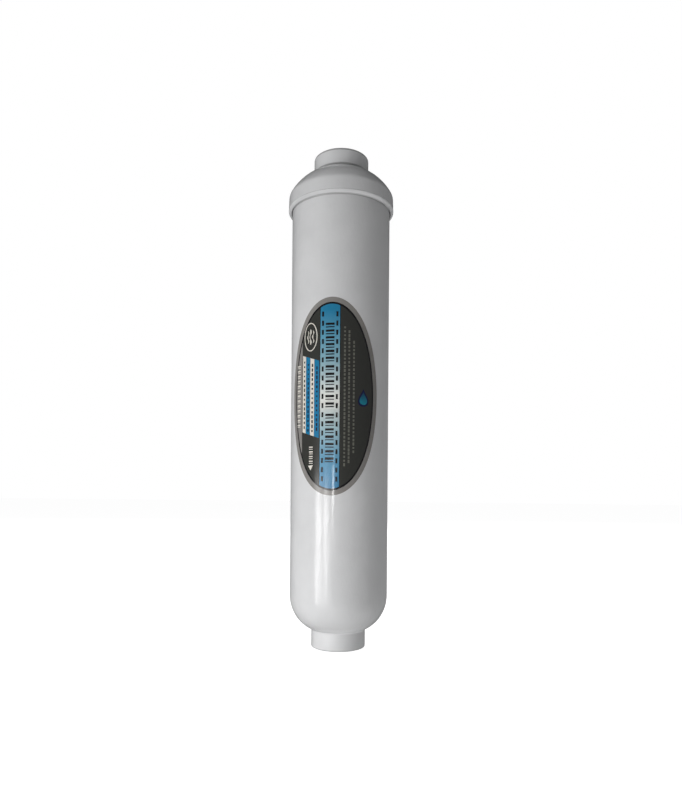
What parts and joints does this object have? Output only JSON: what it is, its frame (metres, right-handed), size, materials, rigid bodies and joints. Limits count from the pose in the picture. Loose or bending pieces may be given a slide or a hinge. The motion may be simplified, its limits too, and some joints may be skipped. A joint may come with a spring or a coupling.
{
  "type": "inline water filter",
  "caption": "Straight-through water filter: a white plastic tube with a domed end and a domed cap, a threaded port in each end, carbon between pads inside, and a printed label.",
  "frame": {"origin": "centre of the outlet boss's end face, which is the bottom of the filter as it stands", "axes": "+Z along the filter's axis from the outlet to the inlet, -Y towards the middle of the label"},
  "size_m": [0.0546, 0.0546, 0.254],
  "materials": {
    "white_polypropylene": "semi-gloss, moulded",
    "natural_polypropylene": "satin, moulded",
    "nylon_mesh": "fine plain weave",
    "polyester_felt": "needled felt",
    "filter_foam": "open-cell foam",
    "granular_carbon": "loose black granules",
    "printed_label": "glossy printed film"
  },
  "bodies": {
    "root": {"housing": "white_polypropylene", "end_cap": "white_polypropylene", "outlet_grate": "natural_polypropylene", "inlet_grate": "natural_polypropylene", "outlet_screen": "nylon_mesh", "inlet_screen": "nylon_mesh", "outlet_felt_pad": "polyester_felt", "inlet_felt_pad": "polyester_felt", "inlet_foam_pad": "filter_foam", "carbon_bed": "granular_carbon", "label": "printed_label"}
  },
  "joints": []
}
